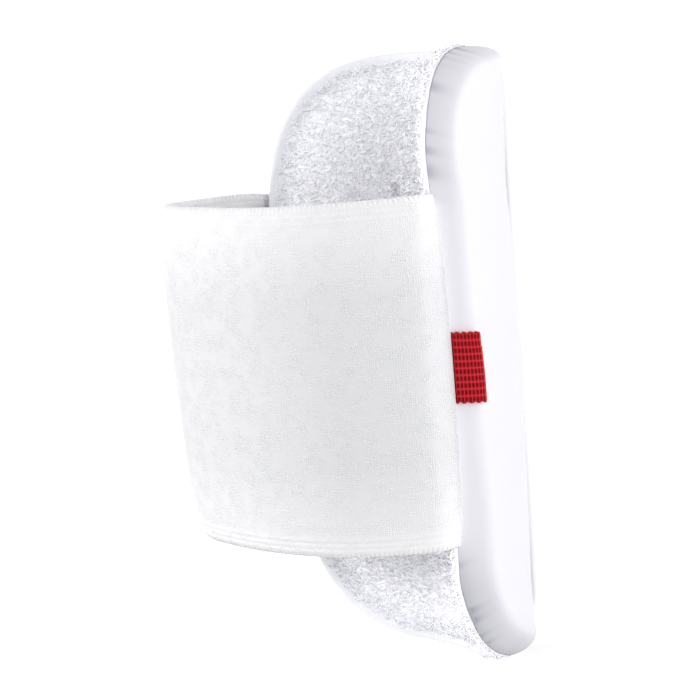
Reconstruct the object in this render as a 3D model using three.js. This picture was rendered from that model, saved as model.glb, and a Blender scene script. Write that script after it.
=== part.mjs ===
// Cricket arm guard: a padded trough that covers the outside of the forearm, lined with towelling
// and closed by one wide elastic strap. Millimetres, +Z up. The guard lies on its outer face.
// X runs along the forearm with the elbow end at +X, and Y runs across it: the strap is sewn to
// the rim at -Y and fastens over the rim at +Y. The origin is under the middle of the crown.
import * as THREE from "three";

// Padded cover
const PAD_LENGTH = 250;
const PAD_THICKNESS = 11.5; // along the crown
const ELBOW_RIM_THICKNESS = 8; // the walls thin out towards their rims
const WRIST_RIM_THICKNESS = 12;
const ELBOW_BEVEL = 5.5; // the cover slopes from the seam to full thickness over this width
const WRIST_BEVEL = 10;
const CREST_ROUNDING = 0.35; // share of the bevel over which its top edge is rounded
const HALF_GIRTH = 86.5; // from the crown line to the seam, along the lined face
const CROWN_HALF_FLAT = 9; // the crown is pressed flat where it rests
const BEND_RADIUS = 28;
const WALL_ANGLE = 54; // degrees from the flat crown
const WRIST_NARROWING = 0.05; // share of the width lost from the elbow end to the wrist end

// Outline of the unrolled cover
// Squareness of each corner: 2 is an ellipse, and more is squarer
const SEWN_ELBOW_CORNER = 4.4;
const SEWN_WRIST_CORNER = 3.6;
const FREE_ELBOW_CORNER = 4.3;
const FREE_WRIST_CORNER = 3.7;
const SEWN_WRIST_SLANT = 27; // the wrist end is this much shorter at the sewn rim than at the crown
const SEWN_RIM_DIP = 6; // the strap draws the sewn rim in by this much
const DIP_RUN = 14; // length over which the rim comes back up beside the strap

// Towelling lining
const LINING_THICKNESS = 2.6;
const LINING_INSET = 0.8; // the lining ends this far inside the seam
const FIT_GAP = 0.3; // between pieces that lie on each other

// Elastic strap
const STRAP_WIDTH = 127;
const STRAP_THICKNESS = 1.8;
const STRAP_OFFSET = 10; // middle of the strap from the middle of the cover, towards the elbow
const LOOP_HEIGHT = 56; // top of the loop above the rims
const LOOP_TAPER = 0.03; // share of the loop's height lost from the elbow edge to the wrist edge
const SEWN_LAP_MIDDLE = 3.2; // how far the sewn end laps over the bevel, in its middle
const SEWN_LAP_CORNER = 0.2; // and at its two corners
const FREE_LAP = 46; // how far the free end laps over the outside of the other wall

// Fastening patch under the free end
const PATCH_LENGTH = 104;
const PATCH_WIDTH = 22;
const PATCH_THICKNESS = 1.4;
const PATCH_END_MARGIN = 4; // from the patch to the end of the strap

// Webbing tab beside the sewn end
const TAB_WIDTH = 25;
const TAB_LENGTH = 11;
const WEBBING_THICKNESS = 1.1;
const TAB_OFFSET = 2; // middle of the tab from the middle of the strap, towards the elbow
const FOLD_GAP = 0.4; // between the two layers of the folded tab

// Route of the loop, as shares: across, of the half width between the rims, and rise, of the loop's height
const LOOP_ROUTE = [
  { across: -1.02, rise: 0.1 },
  { across: -0.92, rise: 0.3 },
  { across: -0.68, rise: 0.6 },
  { across: -0.32, rise: 0.83 },
  { across: 0.16, rise: 0.97 },
  { across: 0.6, rise: 1.0 },
  { across: 0.95, rise: 0.83 },
  { across: 1.1, rise: 0.5 },
  { across: 1.1, rise: 0.15 },
];

// Fineness of the facets
const OUTLINE_POINTS = 84;
const OUTLINE_SAMPLES = 720;
const REACH_ROUNDS = 12;
const TURN_COST = 0.4; // share of the outline's half length that a turn of one radian counts for
const WELD = 1e-3;
const BEVEL_STEPS = 4;
const FACE_STEPS = 7;
const SECTION_SAMPLES = 80;
const STRAP_STEPS = 64;
const STRAP_STATIONS = 9;
const TAB_STATIONS = 5;
const PATCH_STATIONS = 7;
const LAP_STEPS = 5;

const SEWN = -1;
const FREE = 1;
const HALF_LENGTH = PAD_LENGTH / 2;
const WALL_RADIANS = THREE.MathUtils.degToRad(WALL_ANGLE);

// How much of the strap's pull reaches a station: 1 under the strap, 0 beyond its edges
function strapPull(x) {
  const beyond = Math.abs(x - STRAP_OFFSET) - STRAP_WIDTH / 2;
  return 1 - THREE.MathUtils.smoothstep(beyond, -DIP_RUN / 2, DIP_RUN);
}

// Distance along the lined face from the crown line to the longest line of the rim, at a station
function girth(x, side) {
  return HALF_GIRTH - (side === SEWN ? SEWN_RIM_DIP * strapPull(x) : 0);
}

function squareness(x, side) {
  if (side === SEWN) return x < 0 ? SEWN_WRIST_CORNER : SEWN_ELBOW_CORNER;
  return x < 0 ? FREE_WRIST_CORNER : FREE_ELBOW_CORNER;
}

// Distance from the middle to the end, on the line that lies across of the way from crown to rim
function endReach(x, side, across) {
  return HALF_LENGTH - (side === SEWN && x < 0 ? SEWN_WRIST_SLANT * across : 0);
}

// Distance along the lined face from the crown line to the seam
function reach(x, side) {
  const p = squareness(x, side);
  let across = 1;
  for (let i = 0; i < REACH_ROUNDS; i++) {
    const share = Math.min(1, Math.abs(x) / endReach(x, side, across));
    across = (1 - share ** p) ** (1 / p);
  }
  return girth(x, side) * across;
}

// Point of the trough at a distance s from the crown line, moved outwards by offset.
// The crown is flat, then an arc turns up into a straight wall.
function troughPoint(x, s, offset) {
  const side = Math.sign(s) || 1;
  const along = Math.abs(s);
  const turn = THREE.MathUtils.clamp((along - CROWN_HALF_FLAT) / BEND_RADIUS, 0, WALL_RADIANS);
  const onWall = Math.max(0, along - CROWN_HALF_FLAT - BEND_RADIUS * WALL_RADIANS);
  const across =
    Math.min(along, CROWN_HALF_FLAT) +
    (BEND_RADIUS + offset) * Math.sin(turn) +
    onWall * Math.cos(WALL_RADIANS);
  const up =
    PAD_THICKNESS - offset + (BEND_RADIUS + offset) * (1 - Math.cos(turn)) + onWall * Math.sin(WALL_RADIANS);
  const narrowing = 1 - (WRIST_NARROWING / 2) * (1 - x / HALF_LENGTH);
  return new THREE.Vector3(x, side * across * narrowing, up);
}

// Value at a station of something that changes evenly from the wrist end to the elbow end
function alongArm(x, atWrist, atElbow) {
  return THREE.MathUtils.mapLinear(x, -HALF_LENGTH, HALF_LENGTH, atWrist, atElbow);
}

function rimThickness(x) {
  return alongArm(x, WRIST_RIM_THICKNESS, ELBOW_RIM_THICKNESS);
}

function rimBevel(x) {
  return alongArm(x, WRIST_BEVEL, ELBOW_BEVEL);
}

// Thickness of the cover at a station, at a distance s from the crown line
function coverThickness(x, s) {
  const upWall = THREE.MathUtils.smoothstep(Math.abs(s), CROWN_HALF_FLAT, HALF_GIRTH);
  const full = THREE.MathUtils.lerp(PAD_THICKNESS, rimThickness(x), upWall);
  const share = Math.min(2, seamDistance(x, s) / rimBevel(x));
  const soft = CREST_ROUNDING * Math.max(0, 1 - Math.abs(share - 1) / CREST_ROUNDING) ** 2;
  return full * (Math.min(share, 1) - soft / 4);
}

// Distance to the nearest seam
function seamDistance(x, s) {
  const side = s < 0 ? SEWN : FREE;
  const p = squareness(x, side);
  const widest = girth(x, side);
  const across = Math.abs(s) / widest;
  const end = endReach(x, side, across);
  const along = Math.abs(x) / end;
  const ring = (along ** p + across ** p) ** (1 / p);
  if (ring === 0) return HALF_GIRTH;
  const slope = Math.hypot((along / ring) ** (p - 1) / end, (across / ring) ** (p - 1) / widest);
  return Math.max(0, (1 - ring) / slope);
}

function coverPoint(x, s) {
  return troughPoint(x, s, coverThickness(x, s));
}

// The outside of the cover at one station, as a line from the seam to the crown with its true length,
// so that what laps over the rim can be laid on it
function outsideLine(x, side) {
  const line = [];
  for (let i = 0; i <= SECTION_SAMPLES; i++) {
    const fromSeam = reach(x, side) * (i / SECTION_SAMPLES) ** 1.5;
    line.push(coverPoint(x, side * (reach(x, side) - fromSeam)));
  }
  const lengths = [0];
  for (let i = 1; i < line.length; i++) lengths.push(lengths[i - 1] + line[i].distanceTo(line[i - 1]));
  return { line, lengths, side };
}

// Point at a true distance from the seam, raised off the cover by lift
function onOutside({ line, lengths, side }, distance, lift) {
  let i = 1;
  while (i < lengths.length - 1 && lengths[i] < distance) i++;
  const share = (distance - lengths[i - 1]) / (lengths[i] - lengths[i - 1]);
  const point = line[i - 1].clone().lerp(line[i], share);
  const ahead = line[i].clone().sub(line[i - 1]).normalize();
  return point.add(new THREE.Vector3(0, side * -ahead.z, side * ahead.y).multiplyScalar(lift));
}

// Collects triangles, joins the corners that meet and leaves out the triangles with no area
class Skin {
  constructor() {
    this.numbers = new Map();
    this.positions = [];
    this.corners = [];
  }

  number(point) {
    const rounded = point.toArray().map((value) => Math.round(value / WELD));
    const key = rounded.join();
    if (!this.numbers.has(key)) {
      this.numbers.set(key, this.numbers.size);
      this.positions.push(...point.toArray());
    }
    return this.numbers.get(key);
  }

  triangle(...points) {
    const numbers = points.map((point) => this.number(point));
    if (new Set(numbers).size === 3) this.corners.push(...numbers);
  }

  quad(a, b, c, d) {
    this.triangle(a, b, c);
    this.triangle(a, c, d);
  }

  geometry() {
    const geometry = new THREE.BufferGeometry();
    geometry.setAttribute("position", new THREE.Float32BufferAttribute(this.positions, 3));
    geometry.setIndex(this.corners);
    geometry.computeVertexNormals();
    return geometry;
  }
}

// Closed solid between two grids of points with the same rows and columns
function solidBetween(upper, lower) {
  const skin = new Skin();
  const lastRow = upper.length - 1;
  const lastColumn = upper[0].length - 1;
  for (let i = 0; i < lastRow; i++)
    for (let j = 0; j < lastColumn; j++) {
      skin.quad(upper[i][j], upper[i + 1][j], upper[i + 1][j + 1], upper[i][j + 1]);
      skin.quad(lower[i][j], lower[i][j + 1], lower[i + 1][j + 1], lower[i + 1][j]);
    }
  for (let i = 0; i < lastRow; i++) {
    skin.quad(upper[i][0], lower[i][0], lower[i + 1][0], upper[i + 1][0]);
    skin.quad(upper[i][lastColumn], upper[i + 1][lastColumn], lower[i + 1][lastColumn], lower[i][lastColumn]);
  }
  for (let j = 0; j < lastColumn; j++) {
    skin.quad(upper[0][j], upper[0][j + 1], lower[0][j + 1], lower[0][j]);
    skin.quad(upper[lastRow][j], lower[lastRow][j], lower[lastRow][j + 1], upper[lastRow][j + 1]);
  }
  return skin.geometry();
}

// Closed solid between two sets of rings. Each set starts at the border and ends on the crown line,
// where the two sides of its last ring meet.
function solidOfRings(upper, lower) {
  const skin = new Skin();
  const count = upper[0].length;
  for (let i = 0; i < count; i++) {
    const next = (i + 1) % count;
    for (let k = 0; k + 1 < upper.length; k++) {
      skin.quad(upper[k][i], upper[k][next], upper[k + 1][next], upper[k + 1][i]);
      skin.quad(lower[k][i], lower[k + 1][i], lower[k + 1][next], lower[k][next]);
    }
    skin.quad(lower[0][i], lower[0][next], upper[0][next], upper[0][i]);
  }
  return skin.geometry();
}

// Directions from the middle of the unrolled cover to its outline, from the elbow end round one side
// to the wrist end, closer together where the outline turns
function outlineDirections() {
  const p = FREE_ELBOW_CORNER;
  const samples = [];
  for (let i = 0; i <= OUTLINE_SAMPLES; i++) {
    const angle = (Math.PI * i) / OUTLINE_SAMPLES;
    const norm = (Math.abs(Math.cos(angle)) ** p + Math.sin(angle) ** p) ** (1 / p);
    samples.push(new THREE.Vector2(Math.cos(angle) / norm, Math.sin(angle) / norm));
  }
  const costs = [0];
  for (let i = 1; i < samples.length; i++) {
    const step = samples[i].clone().sub(samples[i - 1]);
    const back = samples[Math.max(1, i - 1)].clone().sub(samples[Math.max(0, i - 2)]);
    const turn = Math.abs(back.cross(step)) / (step.length() * back.length());
    costs.push(costs[i - 1] + step.length() + TURN_COST * turn);
  }
  const chosen = [];
  let at = 0;
  for (let i = 0; i <= OUTLINE_POINTS / 2; i++) {
    const target = (costs[costs.length - 1] * 2 * i) / OUTLINE_POINTS;
    while (at + 2 < costs.length && costs[at + 1] < target) at++;
    chosen.push(samples[at].clone().lerp(samples[at + 1], (target - costs[at]) / (costs[at + 1] - costs[at])));
  }
  return chosen;
}

// Places on the unrolled outline, anticlockwise from the elbow end, each with the place on the
// crown line that it faces
function outlinePlaces(inset) {
  const coreHalf = HALF_LENGTH - HALF_GIRTH;
  const directions = outlineDirections();
  const placed = (direction, side) => {
    const p = squareness(direction.x, side);
    const norm = (Math.abs(direction.x) ** p + direction.y ** p) ** (1 / p);
    const across = direction.y / norm;
    const x = (endReach(direction.x, side, across) - inset) * (direction.x / norm);
    const place = new THREE.Vector2(x, side * (girth(x, side) - inset) * across);
    const core = new THREE.Vector2(THREE.MathUtils.clamp(HALF_LENGTH * direction.x, -coreHalf, coreHalf), 0);
    return { place, core };
  };
  return [
    ...directions.map((direction) => placed(direction, FREE)),
    ...directions.slice(1, -1).reverse().map((direction) => placed(direction, SEWN)),
  ];
}

// Rings from the border to the crown line, each a list of places (x, s) on the unrolled lining
function ringsFrom(inset) {
  const bevel = WRIST_BEVEL * (1 + CREST_ROUNDING);
  const shares = [];
  for (let i = 0; i <= BEVEL_STEPS; i++) shares.push((bevel * i) / BEVEL_STEPS / HALF_GIRTH);
  const flatShare = 1 - CROWN_HALF_FLAT / HALF_GIRTH;
  const last = shares[BEVEL_STEPS];
  for (let i = 1; i <= FACE_STEPS; i++) shares.push(last + ((flatShare - last) * i) / FACE_STEPS);
  shares.push(1);
  const border = outlinePlaces(inset);
  return shares.map((share) => border.map(({ place, core }) => place.clone().lerp(core, share)));
}

function paddedCover() {
  const rings = ringsFrom(0);
  const inside = rings.map((ring) => ring.map((place) => troughPoint(place.x, place.y, 0)));
  const outside = rings.map((ring) => ring.map((place) => coverPoint(place.x, place.y)));
  return solidOfRings(inside, outside);
}

function towelLining() {
  const rings = ringsFrom(LINING_INSET);
  const raised = (offset) => rings.map((ring) => ring.map((place) => troughPoint(place.x, place.y, offset)));
  return solidOfRings(raised(-FIT_GAP - LINING_THICKNESS), raised(-FIT_GAP));
}

// Band of even thickness along routes that share their x at each station
function bandAlong(routes, thickness) {
  const raised = [];
  const lowered = [];
  for (const route of routes) {
    const shifted = (amount) =>
      route.map((p, i) => {
        const before = route[Math.max(0, i - 1)];
        const after = route[Math.min(route.length - 1, i + 1)];
        const ahead = after.clone().sub(before).normalize();
        return p.clone().add(new THREE.Vector3(0, -ahead.z, ahead.y).multiplyScalar(amount));
      });
    raised.push(shifted(thickness / 2));
    lowered.push(shifted(-thickness / 2));
  }
  return solidBetween(raised, lowered);
}

function evenStations(middle, width, count) {
  return Array.from({ length: count }, (_, i) => middle + width * (i / (count - 1) - 0.5));
}

// Route of the strap's mid layer at one station, from its sewn end over the arm to its free end
function strapRoute(x) {
  const share = (2 * (x - STRAP_OFFSET)) / STRAP_WIDTH;
  const sewnLift = FIT_GAP + STRAP_THICKNESS / 2;
  const freeLift = sewnLift + FIT_GAP + PATCH_THICKNESS;
  const sewnWall = outsideLine(x, SEWN);
  const freeWall = outsideLine(x, FREE);
  const sewnRim = troughPoint(x, -reach(x, SEWN), 0);
  const freeRim = troughPoint(x, reach(x, FREE), 0);
  const lap = SEWN_LAP_CORNER + (SEWN_LAP_MIDDLE - SEWN_LAP_CORNER) * (1 - share ** 4);
  const points = [];
  for (let i = 0; i < 2; i++) points.push(onOutside(sewnWall, lap * (1 - i / 2), sewnLift));
  const height = LOOP_HEIGHT * (1 + (LOOP_TAPER / 2) * share);
  const middle = (sewnRim.y + freeRim.y) / 2;
  const halfWidth = (freeRim.y - sewnRim.y) / 2;
  const rimHeight = (sewnRim.z + freeRim.z) / 2;
  for (const { across, rise } of LOOP_ROUTE)
    points.push(new THREE.Vector3(x, middle + across * halfWidth, rimHeight + rise * height));
  const crest = Math.hypot(rimBevel(x), rimThickness(x));
  for (let i = 0; i <= LAP_STEPS; i++) {
    const distance = crest + ((FREE_LAP - crest) * i) / LAP_STEPS;
    points.push(onOutside(freeWall, distance, freeLift));
  }
  return new THREE.CatmullRomCurve3(points, false, "centripetal").getSpacedPoints(STRAP_STEPS);
}

function elasticStrap() {
  return bandAlong(evenStations(STRAP_OFFSET, STRAP_WIDTH, STRAP_STATIONS).map(strapRoute), STRAP_THICKNESS);
}

function fasteningPatch() {
  const lift = FIT_GAP + PATCH_THICKNESS / 2;
  const first = FREE_LAP - PATCH_END_MARGIN - PATCH_WIDTH;
  const routes = evenStations(STRAP_OFFSET, PATCH_LENGTH, PATCH_STATIONS).map((x) => {
    const wall = outsideLine(x, FREE);
    return Array.from({ length: LAP_STEPS + 1 }, (_, i) =>
      onOutside(wall, first + (PATCH_WIDTH * i) / LAP_STEPS, lift),
    );
  });
  return bandAlong(routes, PATCH_THICKNESS);
}

// Webbing folded double: out along the cover from the strap's edge, round the fold and back
function webbingTab() {
  const middle = STRAP_OFFSET + TAB_OFFSET;
  const lowLift = FIT_GAP + WEBBING_THICKNESS / 2;
  const highLift = lowLift + WEBBING_THICKNESS + FOLD_GAP;
  const foldRadius = (highLift - lowLift) / 2;
  const root = SEWN_LAP_MIDDLE + FIT_GAP;
  const routes = evenStations(middle, TAB_WIDTH, TAB_STATIONS).map((x) => {
    const wall = outsideLine(x, SEWN);
    const layer = (lift) =>
      Array.from({ length: LAP_STEPS + 1 }, (_, i) =>
        onOutside(wall, root + ((TAB_LENGTH - foldRadius) * i) / LAP_STEPS, lift),
      );
    const low = layer(lowLift);
    const high = layer(highLift);
    const tip = onOutside(wall, root + TAB_LENGTH, lowLift + foldRadius);
    return [...high, tip, ...low.reverse()];
  });
  return bandAlong(routes, WEBBING_THICKNESS);
}

function piece(name, geometry, finish) {
  const mesh = new THREE.Mesh(geometry, new THREE.MeshStandardMaterial(finish));
  mesh.name = name;
  return mesh;
}

const guard = new THREE.Group();
guard.add(piece("padded_cover", paddedCover(), { color: "#f3f3f7", roughness: 0.75, metalness: 0 }));
guard.add(piece("towel_lining", towelLining(), { color: "#ececef", roughness: 1, metalness: 0 }));
guard.add(piece("elastic_strap", elasticStrap(), { color: "#f2f2f2", roughness: 0.85, metalness: 0 }));
guard.add(piece("fastening_patch", fasteningPatch(), { color: "#eeeeee", roughness: 0.95, metalness: 0 }));
guard.add(piece("webbing_tab", webbingTab(), { color: "#c4242c", roughness: 0.7, metalness: 0 }));

export default guard;
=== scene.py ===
import math
import random

import bpy
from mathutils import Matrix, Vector, noise


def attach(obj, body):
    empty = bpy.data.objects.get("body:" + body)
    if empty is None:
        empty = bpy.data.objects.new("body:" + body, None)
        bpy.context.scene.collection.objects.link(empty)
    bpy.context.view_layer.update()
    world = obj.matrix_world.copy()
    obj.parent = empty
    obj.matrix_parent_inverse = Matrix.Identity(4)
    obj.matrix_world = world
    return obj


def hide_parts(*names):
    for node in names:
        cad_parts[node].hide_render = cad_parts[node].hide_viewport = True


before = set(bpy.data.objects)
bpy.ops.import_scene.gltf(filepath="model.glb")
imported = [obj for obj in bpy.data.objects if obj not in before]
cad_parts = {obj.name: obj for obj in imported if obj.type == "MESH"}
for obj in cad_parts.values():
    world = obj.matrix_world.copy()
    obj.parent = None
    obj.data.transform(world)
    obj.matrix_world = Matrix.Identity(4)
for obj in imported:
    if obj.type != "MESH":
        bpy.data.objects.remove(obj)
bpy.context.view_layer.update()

MM = 0.001

# Padded cover, as in the part's source, with its free rim eased outwards as soft cloth settles
PAD_LENGTH = 250
PAD_THICKNESS = 11.5
ELBOW_RIM_THICKNESS = 8
WRIST_RIM_THICKNESS = 12
ELBOW_BEVEL = 5.5
WRIST_BEVEL = 10
CREST_ROUNDING = 0.35
HALF_GIRTH = 86.5
CROWN_HALF_FLAT = 9
BEND_RADIUS = 28
WALL_ANGLE = math.radians(54)
WRIST_NARROWING = 0.05
SEWN_ELBOW_CORNER = 4.4
SEWN_WRIST_CORNER = 3.6
FREE_ELBOW_CORNER = 3.5
FREE_WRIST_CORNER = 3.15
SEWN_WRIST_SLANT = 27
FREE_WRIST_SLANT = 2
FREE_ELBOW_FLARE = 7  # the soft corner stands this much further out at the free rim
SEWN_RIM_DIP = 6
DIP_RUN = 18
HALF_LENGTH = PAD_LENGTH / 2
CROWN_BEVEL = 0.65  # the bevel is this share of its width over the crown
BEVEL_WIDENS = (12, 45)  # distances from the crown between which it widens
BEVEL_STRAIGHTENS = (14, 42)  # and between which it turns from rounded to straight
SEWN = -1
FREE = 1

# Towelling
FIT_GAP = 0.3
LOOP_SPACING = 1.28
LOOP_LENGTH = 0.95  # how far the loops stand out of the backing
SMOOTH_BAND = 3  # along the rim the pile is flattened over this width
EDGE_ROLL = 0.6  # share of EDGE_PROFILE's reach past the seam that the rolled edge takes

# Elastic strap
STRAP_WIDTH = 127
STRAP_THICKNESS = 1.8
STRAP_OFFSET = 10
LOOP_HEIGHT = 56
LOOP_TAPER = 0.03
SEWN_LAP_MIDDLE = 3.2
SEWN_LAP_CORNER = 0.2
FREE_LAP = 46
LOOP_SPRING = 2.1  # the loop springs up a little more than the plain solid's
EDGE_CURL = 2.2  # the selvedges curl in by this much
FAR_SPREAD = 0.04  # share by which the strap is wider over the arm than where it is sewn
PICOT_PITCH = 1.7
STRAP_LENGTH = 235.5
LOOP_ROUTE = [
    (-1.02, 0.1),
    (-0.92, 0.3),
    (-0.68, 0.6),
    (-0.32, 0.83),
    (0.16, 0.97),
    (0.6, 1.0),
    (0.95, 0.83),
    (1.1, 0.5),
    (1.1, 0.15),
]

# Hook tape under the free end
TAPE_LENGTH = 104
TAPE_WIDTH = 22
TAPE_THICKNESS = 1.4
TAPE_END_MARGIN = 4

# Webbing tab
TAB_WIDTH = 25
TAB_LENGTH = 11
WEBBING_THICKNESS = 1.1
TAB_OFFSET = 2
FOLD_GAP = 0.4
TAB_SKEW = 1.3  # the fold is pulled this much towards the wrist
TAB_RIBS = 10
SLOT_PITCH = 1.3
SCALLOP_PITCH = 2.6
SCALLOP_DEPTH = 0.9
TAB_TAPER = 0.9  # the fold stands this much less far out at the elbow side

# Camera, fitted to the photograph
CAMERA_DISTANCE = 540.6
CAMERA_ELEVATION = math.radians(29.7)
CAMERA_SWING = math.radians(8.9)
CAMERA_ROLL = math.radians(-5.38)
CAMERA_TARGET = Vector((11.6, 15.2, 55.3))
CAMERA_LENS = 69.57


def clamp(value, low, high):
    return max(low, min(high, value))


def lerp(a, b, share):
    return a + (b - a) * share


def smoothstep(value, low, high):
    share = clamp((value - low) / (high - low), 0, 1)
    return share * share * (3 - 2 * share)


# The trough and its outline, as in the part's source


def strap_pull(x):
    beyond = abs(x - STRAP_OFFSET) - STRAP_WIDTH / 2
    return 1 - smoothstep(beyond, -DIP_RUN / 2, DIP_RUN)


def girth(x, side):
    return HALF_GIRTH - (SEWN_RIM_DIP * strap_pull(x) if side == SEWN else 0)


def squareness(x, side):
    if side == SEWN:
        return SEWN_WRIST_CORNER if x < 0 else SEWN_ELBOW_CORNER
    return FREE_WRIST_CORNER if x < 0 else FREE_ELBOW_CORNER


def end_reach(x, side, across):
    if side == SEWN:
        return HALF_LENGTH - (SEWN_WRIST_SLANT * across if x < 0 else 0)
    return HALF_LENGTH + (FREE_ELBOW_FLARE if x > 0 else -FREE_WRIST_SLANT) * across


def reach(x, side):
    p = squareness(x, side)
    across = 1
    for _ in range(12):
        share = min(1, abs(x) / end_reach(x, side, across))
        across = (1 - share**p) ** (1 / p)
    return girth(x, side) * across


def turn_of(s):
    return clamp((abs(s) - CROWN_HALF_FLAT) / BEND_RADIUS, 0, WALL_ANGLE)


def trough_point(x, s, offset):
    side = -1 if s < 0 else 1
    along = abs(s)
    turn = turn_of(s)
    on_wall = max(0, along - CROWN_HALF_FLAT - BEND_RADIUS * WALL_ANGLE)
    radius = BEND_RADIUS + offset
    across = min(along, CROWN_HALF_FLAT) + radius * math.sin(turn) + on_wall * math.cos(WALL_ANGLE)
    up = PAD_THICKNESS - offset + radius * (1 - math.cos(turn)) + on_wall * math.sin(WALL_ANGLE)
    narrowing = 1 - WRIST_NARROWING / 2 * (1 - x / HALF_LENGTH)
    return Vector((x, side * across * narrowing, up))


def outward(s):
    side = -1 if s < 0 else 1
    return Vector((0, side * math.sin(turn_of(s)), -math.cos(turn_of(s))))


def along_arm(x, at_wrist, at_elbow):
    return lerp(at_wrist, at_elbow, (x + HALF_LENGTH) / PAD_LENGTH)


def rim_thickness(x):
    return along_arm(x, WRIST_RIM_THICKNESS, ELBOW_RIM_THICKNESS)


def rim_bevel(x):
    return along_arm(x, WRIST_BEVEL, ELBOW_BEVEL)


def seam_distance(x, s):
    side = SEWN if s < 0 else FREE
    p = squareness(x, side)
    widest = girth(x, side)
    across = abs(s) / widest
    end = end_reach(x, side, across)
    along = abs(x) / end
    ring = (along**p + across**p) ** (1 / p)
    if ring == 0:
        return HALF_GIRTH
    slope = math.hypot((along / ring) ** (p - 1) / end, (across / ring) ** (p - 1) / widest)
    return max(0, (1 - ring) / slope)


def cover_thickness(x, s):
    up_wall = smoothstep(abs(s), CROWN_HALF_FLAT, HALF_GIRTH)
    full = lerp(PAD_THICKNESS, rim_thickness(x), up_wall)
    bevel = rim_bevel(x) * lerp(CROWN_BEVEL, 1, smoothstep(abs(s), *BEVEL_WIDENS))
    share = min(2, seam_distance(x, s) / bevel)
    soft = CREST_ROUNDING * max(0, 1 - abs(share - 1) / CREST_ROUNDING) ** 2
    straight = min(share, 1) - soft / 4
    rounded = math.sqrt(1 - (1 - min(share, 1)) ** 2)
    return full * lerp(rounded, straight, smoothstep(abs(s), *BEVEL_STRAIGHTENS))


def cover_point(x, s):
    return trough_point(x, s, cover_thickness(x, s))


# Mesh making


def new_piece(name, points, faces):
    """An object in the scene, from points in metres."""
    mesh = bpy.data.meshes.new(name)
    mesh.from_pydata(points, [], faces)
    piece = bpy.data.objects.new(name, mesh)
    bpy.context.scene.collection.objects.link(piece)
    return piece


def shade_smooth(piece):
    piece.data.polygons.foreach_set("use_smooth", [True] * len(piece.data.polygons))
    piece.data.update()


def set_values(piece, attribute, values):
    """Gives each point the value that the piece's material reads."""
    piece.data.attributes.new(attribute, "FLOAT", "POINT").data.foreach_set("value", values)


class Skin:
    """Collects faces and joins the corners that meet."""

    def __init__(self):
        self.numbers = {}
        self.points = []
        self.faces = []
        self.maps = []

    def number(self, point):
        key = tuple(round(value * 1000) for value in point)
        if key not in self.numbers:
            self.numbers[key] = len(self.points)
            self.points.append(point)
        return self.numbers[key]

    def face(self, corners, places=None):
        numbers = []
        kept = []
        for i, corner in enumerate(corners):
            number = self.number(corner)
            if number not in numbers:
                numbers.append(number)
                kept.append(places[i] if places else (0, 0))
        if len(numbers) > 2:
            self.faces.append(numbers)
            self.maps.append(kept)

    def piece(self, name):
        piece = new_piece(name, [tuple(point * MM) for point in self.points], self.faces)
        layer = piece.data.uv_layers.new(name="UVMap")
        flat = [value * MM for places in self.maps for place in places for value in place]
        layer.uv.foreach_set("vector", flat)
        shade_smooth(piece)
        piece.data.validate()
        return piece


OUTLINE_SAMPLES = 2000


def outline_places(count):
    """Places (x, s) round the unrolled outline from the elbow end, with the crown place each faces."""
    core_half = HALF_LENGTH - HALF_GIRTH
    p = FREE_ELBOW_CORNER
    samples = []
    for i in range(OUTLINE_SAMPLES + 1):
        angle = math.pi * i / OUTLINE_SAMPLES
        norm = (abs(math.cos(angle)) ** p + math.sin(angle) ** p) ** (1 / p)
        samples.append((math.cos(angle) / norm, math.sin(angle) / norm))
    lengths = [0]
    for a, b in zip(samples, samples[1:]):
        step = math.hypot((b[0] - a[0]) * HALF_LENGTH, (b[1] - a[1]) * HALF_GIRTH)
        lengths.append(lengths[-1] + step)
    half = count // 2
    directions = []
    at = 0
    for i in range(half + 1):
        target = lengths[-1] * i / half
        while at + 2 < len(lengths) and lengths[at + 1] < target:
            at += 1
        share = (target - lengths[at]) / (lengths[at + 1] - lengths[at])
        directions.append([lerp(samples[at][k], samples[at + 1][k], share) for k in (0, 1)])
    places = []
    for i in range(count):
        side = FREE if i <= half else SEWN
        dx, dy = directions[i if i <= half else count - i]
        q = squareness(dx, side)
        norm = (abs(dx) ** q + abs(dy) ** q) ** (1 / q)
        across = abs(dy) / norm
        x = end_reach(dx, side, across) * dx / norm
        place = (x, side * girth(x, side) * across)
        core = (clamp(HALF_LENGTH * dx, -core_half, core_half), 0)
        places.append((place, core))
    return places


def part_way(place, core, share):
    """The place that lies a share of the way from the border to the crown."""
    return lerp(place[0], core[0], share), lerp(place[1], core[1], share)


def towards(place, core):
    return Vector((core[0] - place[0], core[1] - place[1])).normalized()


def moved_in(place, toward, distance):
    return place[0] + toward.x * distance, place[1] + toward.y * distance


CIRCLE_ROUND = 6.28  # length round a circle of radius 1


def gathers(position, seed, waves):
    """Sum of smooth waves, each with its number of turns and its height, along a closed border
    whose position runs from 0 to 1."""
    angle = 2 * math.pi * position
    total = 0
    for turns, height in waves:
        place = (math.cos(angle) * turns / CIRCLE_ROUND, math.sin(angle) * turns / CIRCLE_ROUND, seed)
        total += height * (2 * noise.noise(Vector(place)))
    return total


# Padded cover: foam in a stretched skin, drawn in along the seam by its stitches

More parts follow.
